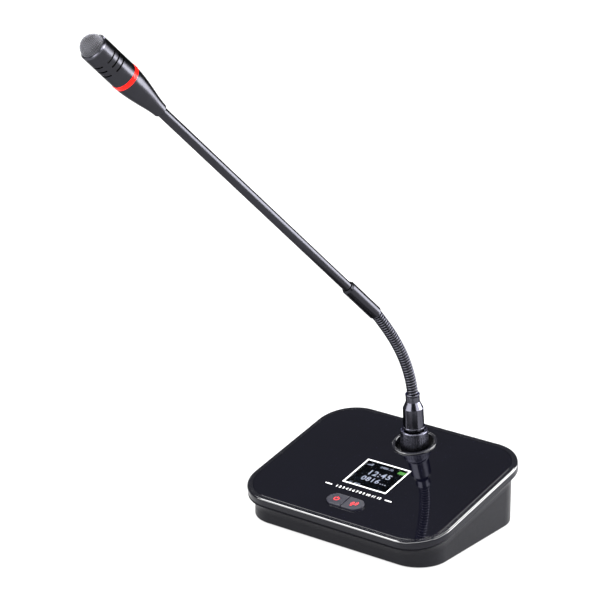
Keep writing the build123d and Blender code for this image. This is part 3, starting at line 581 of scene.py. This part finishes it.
settle(frame_print, "window_frame_print",
       on_panel @ Matrix.Translation((print_x, print_v, ink_lift)), print_white)
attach(frame_print, "base")

row_x, row_v = 0.0003, -0.0274
dash_width, dash_depth, dash_reach = 0.0052, 0.0010, 0.0244
row = [moved(thin_bar(dash_width, dash_depth, ink), side * dash_reach, row_v)
       for side in (-1, 1)]
channel_figures = figures("1 2 3 4 5 6 7 8 9 10 11 12", tall=0.0022, thick=ink,
                          weight=0.00009, gap=1.12)
row.append(moved(channel_figures, 0, row_v))
row_print = settle(joined(row), "channel_row_print",
                   on_panel @ Matrix.Translation((row_x, 0, ink_lift)), print_white)
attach(row_print, "base")


# Keys: two halves of a pill, moulded in soft grey, each on a plunger over a tact switch. A red
# sign is printed on each: power on the left, speak on the right.
key_grey = surface_finish(
    "key grey", dark=(0.012, 0.012, 0.019), light=(0.016, 0.016, 0.024),
    smooth=0.2, rough=0.26, grain=4200, relief=0.000004, Specular_IOR_Level=0.15)
dress(key_grey, "key_left", "key_right")
plunger_white = surface_finish(
    "plunger white", dark=(0.5, 0.5, 0.48), light=(0.6, 0.6, 0.58),
    smooth=0.4, rough=0.5, grain=3000, relief=0.00001)
dress(plunger_white, "plunger_left", "plunger_right")
sign_red = surface_finish(
    "sign red", dark=(0.75, 0.025, 0.03), light=(0.85, 0.04, 0.045),
    smooth=0.2, rough=0.26, grain=6000, relief=0.000004, Specular_IOR_Level=0.1)
key_reach, key_v, key_face = 0.0072, -0.0415, 0.0013


def arc_band(radius, line, start, sweep):
    """A flat arc of printed line about the origin, angles in degrees from +X."""
    arc_sides = 60
    inner, outer = radius - line / 2, radius + line / 2
    bpy.ops.mesh.primitive_circle_add(vertices=arc_sides, radius=inner)
    band = bpy.context.object
    bpy.ops.object.mode_set(mode="EDIT")
    bpy.ops.mesh.select_all(action="SELECT")
    bpy.ops.mesh.extrude_edges_move()
    wider = outer / inner
    bpy.ops.transform.resize(value=(wider, wider, 1), center_override=(0, 0, 0))
    bpy.ops.mesh.select_mode(type="FACE")
    bpy.ops.mesh.select_all(action="DESELECT")
    bpy.ops.object.mode_set(mode="OBJECT")
    for face in band.data.polygons:
        turn = degrees(atan2(face.center.y, face.center.x)) - start
        face.select = turn % 360 > sweep
    bpy.ops.object.mode_set(mode="EDIT")
    bpy.ops.mesh.delete(type="FACE")
    bpy.ops.mesh.select_all(action="SELECT")
    bpy.ops.mesh.normals_make_consistent(inside=False)
    bpy.ops.object.mode_set(mode="OBJECT")
    if band.data.polygons[0].normal.z < 0:
        band.data.flip_normals()
    apply_modifier(band, "SOLIDIFY", thickness=ink, offset=1)
    return band


def on_key(pieces, name, side, body):
    """Prints a red sign on the key at this side, which it rides on."""
    place = on_panel @ Matrix.Translation((side * key_reach, key_v, key_face + ink_lift))
    made = settle(joined(pieces), name, place, sign_red)
    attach(made, body)


power_ring = arc_band(radius=0.0017, line=0.0006, start=125, sweep=290)
power_stroke = moved(thin_bar(0.0006, 0.0017, ink), 0, 0.0015)
on_key([power_ring, power_stroke], "power_sign", -1, "left_key")

capsule_x, wave_x, sound_y = -0.0012, -0.0006, 0.0006
speak = [moved(thin_bar(0.0013, 0.0020, ink), capsule_x, sound_y),
         moved(thin_bar(0.0005, 0.0010, ink), capsule_x, -0.0020),
         moved(thin_bar(0.0018, 0.0004, ink), capsule_x, -0.0025)]
speak.append(moved(arc_band(radius=0.0013, line=0.0004, start=180, sweep=180),
                   capsule_x, 0.0002))
for wave_radius in (0.0018, 0.0029):
    speak.append(moved(arc_band(wave_radius, line=0.0005, start=-40, sweep=80),
                       wave_x, sound_y))
on_key(speak, "speak_sign", 1, "right_key")


# Microphone socket: a gloss black trim cup set in the panel, and a nickel-plated barrel with
# its nut and a moulded insert. The plug carries an insert too, with gold-plated pins.
trim_black = surface_finish(
    "trim black", dark=(0.009, 0.009, 0.012), light=(0.013, 0.013, 0.017),
    smooth=0.06, rough=0.11, grain=5000, relief=0.000002, Specular_IOR_Level=0.6)
dress(trim_black, "trim_cup")
socket_nickel = surface_finish(
    "socket nickel", dark=(0.42, 0.41, 0.40), light=(0.56, 0.55, 0.53),
    smooth=0.18, rough=0.35, grain=4000, relief=0.000004, spread=120, Metallic=1.0)
dress(socket_nickel, "socket_barrel", "socket_nut")
insert_black = surface_finish(
    "insert black", dark=(0.010, 0.010, 0.011), light=(0.018, 0.018, 0.019),
    smooth=0.45, rough=0.6, grain=4000, relief=0.00001)
dress(insert_black, "socket_insert", "plug_insert")
pin_gold = surface_finish(
    "pin gold", dark=(0.72, 0.48, 0.16), light=(0.86, 0.62, 0.26),
    smooth=0.2, rough=0.32, grain=5000, relief=0.000003, spread=200, Metallic=1.0)
dress(pin_gold, "plug_pins")


# Locking ring: turned aluminium, knurled with straight grooves and anodised black. It turns on
# the plug to hold it in the socket.
ring_black = surface_finish(
    "ring black", dark=(0.072, 0.072, 0.092), light=(0.090, 0.090, 0.113),
    smooth=0.24, rough=0.34, grain=6000, relief=0.00001, spread=150,
    Metallic=1.0, Specular_Tint=(0.15, 0.15, 0.15, 1))
dress(ring_black, "locking_ring")


# Plug and ferrule: turned aluminium, polished and black anodised, so the cone and the bead
# catch the lamps in long bright strokes.
plug_black = surface_finish(
    "plug black", dark=(0.072, 0.072, 0.088), light=(0.088, 0.088, 0.107),
    smooth=0.16, rough=0.24, grain=6000, relief=0.000004, spread=120,
    Metallic=1.0, Specular_Tint=(0.1, 0.1, 0.1, 1))
dress(plug_black, "plug_body", "neck_ferrule")


# Flexible neck: a round steel wire wound hard against a thinner one that fills its groove, and
# coated black. The thinner wire is coloured near black, as painted shade in the groove between
# the turns. It bends a little at each of nine hinges and stays where it is put.
link_count = 8
neck_length = 0.0726
link_length = neck_length / link_count
turn_pitch = 0.00211
turn_steps = 26
wire_sides = 10
coil_radius = 0.00392
wire_radius = 0.00062
filler_radius = 0.0005
filler_middle = 0.00275
coil_overlap = 0.0009
route_lead = 0.004
neck_black = surface_finish(
    "neck black", dark=(0.070, 0.070, 0.086), light=(0.088, 0.088, 0.107),
    smooth=0.15, rough=0.22, grain=5000, relief=0.000004, spread=150,
    Metallic=1.0, Specular_Tint=(0.1, 0.1, 0.1, 1))
# The thinner wire gets a near-black finish, darker than the coated wire: painted shade in the
# groove between the turns.
groove_painted_shade = surface_finish(
    "groove painted shade", dark=(0.003, 0.003, 0.004), light=(0.006, 0.006, 0.007),
    smooth=0.5, rough=0.65, grain=5000, relief=0.000006, Specular_IOR_Level=0.1)

hinges = {joint["name"]: joint for joint in frame["joints"]}
neck_points = [Vector(hinge["pos_m"]) for name, hinge in hinges.items()
               if name.startswith("neck_")]
plug_line = Vector(hinges["plug_lift"]["axis"]).normalized()
stem_yaw = radians(-15.0)
stem_tilt = radians(45.7)
stem_turn = Matrix.Rotation(stem_yaw, 4, "Z") @ Matrix.Rotation(stem_tilt, 4, "X")
stem_line = stem_turn.to_3x3() @ Vector((0, 0, 1))
stations = [neck_points[0] - plug_line * route_lead] + neck_points
stations.append(neck_points[-1] + stem_line * route_lead)

bpy.ops.curve.primitive_bezier_curve_add()
neck_route = bpy.context.object
neck_route.data.dimensions = "3D"
neck_route.data.twist_mode = "MINIMUM"
neck_route.data.resolution_u = 24
route = neck_route.data.splines[0]
route.bezier_points.add(len(stations) - len(route.bezier_points))
for point, station in zip(route.bezier_points, stations):
    point.co = station
    point.handle_left_type = "AUTO"
    point.handle_right_type = "AUTO"


def wound_wire(radius, middle, start, run, phase):
    """A stretch of wire wound about X, from `start` along it for `run`, as open tube."""
    bpy.ops.mesh.primitive_circle_add(vertices=wire_sides, radius=radius,
                                      location=(middle, 0, 0), rotation=(pi / 2, 0, 0))
    wire = bpy.context.object
    bpy.ops.object.transform_apply(location=True, rotation=True)
    turns = run / turn_pitch
    steps = int(turn_steps * turns)
    apply_modifier(wire, "SCREW", axis="Z", angle=2 * pi * turns, screw_offset=run,
                   iterations=1, steps=steps, render_steps=steps, use_merge_vertices=False)
    wire.data.transform(Matrix.Rotation(phase, 4, "Z"))
    wire.data.transform(Matrix.Translation((start, 0, 0)) @ Matrix.Rotation(pi / 2, 4, "Y"))
    return wire


for junction in range(link_count + 1):
    start = max(-coil_overlap, (junction - 0.5) * link_length)
    end = min(neck_length + coil_overlap, (junction + 0.5) * link_length)
    turned = 2 * pi * start / turn_pitch
    round_wire = wound_wire(wire_radius, coil_radius - wire_radius, start, end - start, turned)
    filler = wound_wire(filler_radius, filler_middle, start, end - start, turned + pi)
    wire_faces = len(round_wire.data.polygons)
    coil = joined([round_wire, filler])
    coil.data.transform(Matrix.Translation((route_lead, 0, 0)))
    apply_modifier(coil, "CURVE", object=neck_route, deform_axis="POS_X")
    only(coil)
    bpy.ops.object.mode_set(mode="EDIT")
    bpy.ops.mesh.select_all(action="SELECT")
    bpy.ops.mesh.normals_make_consistent(inside=False)
    bpy.ops.object.mode_set(mode="OBJECT")
    bpy.ops.object.shade_smooth()
    settle(coil, f"neck_coil_{junction}", Matrix.Identity(4), neck_black)
    # The thinner wire's faces take the painted groove shade.
    coil.data.materials.append(groove_painted_shade)
    for face in coil.data.polygons[wire_faces:]:
        face.material_index = 1
    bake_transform(coil)
    if junction:
        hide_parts(f"neck_link_{junction}")
bpy.data.objects.remove(neck_route)


# Collar, stem and head cone: thin steel tube and turned parts, bead-blasted and painted satin
# black. A rubber-sheathed lead runs up the middle to the capsule in its rubber mount.
stem_black = surface_finish(
    "stem black", dark=(0.028, 0.028, 0.033), light=(0.036, 0.036, 0.042),
    smooth=0.2, rough=0.27, grain=7000, relief=0.000003, spread=60,
    Metallic=1.0, Specular_Tint=(0.5, 0.5, 0.5, 1))
dress(stem_black, "collar", "stem_tube", "head_cone")
lead_black = surface_finish(
    "lead black", dark=(0.012, 0.012, 0.012), light=(0.020, 0.020, 0.020),
    smooth=0.5, rough=0.65, grain=2500, relief=0.00002)
dress(lead_black, "stem_lead", "capsule_mount")


# Light ring: a band of translucent red plastic, lit from the board inside the cone while the
# microphone is open.
ring_red = surface_finish(
    "ring red", dark=(0.60, 0.004, 0.002), light=(0.70, 0.008, 0.004),
    smooth=0.12, rough=0.2, grain=3000, relief=0.000004,
    Subsurface_Weight=0.3, Subsurface_Radius=(0.002, 0.0004, 0.0004),
    Specular_IOR_Level=0.12, Emission_Strength=0.7)
red_nodes, red_links = ring_red.node_tree.nodes, ring_red.node_tree.links
red_links.new(red_nodes["tones"].outputs["Result"],
              red_nodes["Principled BSDF"].inputs["Emission Color"])
dress(ring_red, "light_ring")


# Head tube and bezel: thin drawn tube with three rows of gill slots, painted like the stem, and
# a bezel that holds the grille. The bezel's finish is a lighter copy of the tube's, a painted
# highlight, so that its edge shows as a bright line where it also catches the lamps.
head_black = surface_finish(
    "head black", dark=(0.029, 0.029, 0.034), light=(0.037, 0.037, 0.043),
    smooth=0.2, rough=0.27, grain=7000, relief=0.000003, spread=70,
    Metallic=1.0, Specular_Tint=(0.5, 0.5, 0.5, 1))
dress(head_black, "head_tube")
# Painted highlight: the bezel is a lighter copy of the tube's finish, so that its edge reads as a
# bright line.
bezel_paint_with_painted_highlight = surface_finish(
    "bezel paint with painted highlight", dark=(0.065, 0.065, 0.078), light=(0.085, 0.085, 0.100),
    smooth=0.16, rough=0.24, grain=7000, relief=0.000003, spread=70,
    Metallic=1.0, Specular_Tint=(0.5, 0.5, 0.5, 1))
dress(bezel_paint_with_painted_highlight, "grille_bezel")


# Grille: black woven wire cloth pressed into a dome, over a cap of open foam. The capsule
# stands behind it, and the same foam lines the gill slots.
foam_black = surface_finish(
    "foam black", dark=(0.004, 0.004, 0.004), light=(0.014, 0.014, 0.014),
    smooth=0.9, rough=1.0, grain=1500, relief=0.0003, Specular_IOR_Level=0.1)
dress(foam_black, "grille_foam", "slot_liner")
capsule_tin = surface_finish(
    "capsule tin", dark=(0.45, 0.45, 0.46), light=(0.6, 0.6, 0.6),
    smooth=0.25, rough=0.4, grain=4000, relief=0.00001, Metallic=1.0)
dress(capsule_tin, "capsule")
# The black wire is coloured as a light grey metal, a painted sheen that makes the weave show as
# bright lines, on top of what it mirrors of the lamps.
weave_wire_with_painted_sheen = surface_finish(
    "weave wire with painted sheen", dark=(0.15, 0.15, 0.17), light=(0.20, 0.20, 0.225),
    smooth=0.2, rough=0.3, grain=9000, relief=0.000004, spread=300, Metallic=0.7)
dome_radius = 0.0076
dome_rise = 0.00698
dome_bend = (dome_radius ** 2 + dome_rise ** 2) / (2 * dome_rise)
cells = 10
wire_lift = 0.00010
wire_thick = 0.00042
bezel_end = 0.2993
bpy.ops.mesh.primitive_cube_add(size=2)
weave = bpy.context.object
bpy.ops.object.mode_set(mode="EDIT")
bpy.ops.mesh.select_all(action="SELECT")
bpy.ops.mesh.subdivide(number_cuts=cells - 1)
bpy.ops.object.mode_set(mode="OBJECT")
over = [sum(round((part + 1) * cells / 2) for part in vertex.co) % 2 == 0
        for vertex in weave.data.vertices]
apply_modifier(weave, "CAST", cast_type="SPHERE", factor=1, radius=0,
               use_radius_as_size=False, size=dome_bend)
bpy.ops.object.mode_set(mode="EDIT")
bpy.ops.mesh.select_mode(type="VERT")
bpy.ops.mesh.select_all(action="DESELECT")
bpy.ops.object.mode_set(mode="OBJECT")
for vertex, lifted in zip(weave.data.vertices, over):
    vertex.select = lifted
bpy.ops.object.mode_set(mode="EDIT")
bpy.ops.transform.shrink_fatten(value=wire_lift)
bpy.ops.mesh.select_all(action="SELECT")
bpy.ops.mesh.bisect(plane_co=(0, 0, dome_bend - dome_rise), plane_no=(0, 0, 1),
                    clear_inner=True)
bpy.ops.object.mode_set(mode="OBJECT")
apply_modifier(weave, "WIREFRAME", thickness=wire_thick, use_replace=True,
               use_even_offset=False, use_boundary=True)
bpy.ops.object.shade_smooth()
stem_frame = Matrix.Translation(neck_points[-1]) @ stem_turn
dome_place = stem_frame @ Matrix.Translation((0, 0, bezel_end + dome_rise - dome_bend))
settle(weave, "grille_weave", dome_place, weave_wire_with_painted_sheen)
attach(weave, "microphone")
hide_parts("grille_dome")
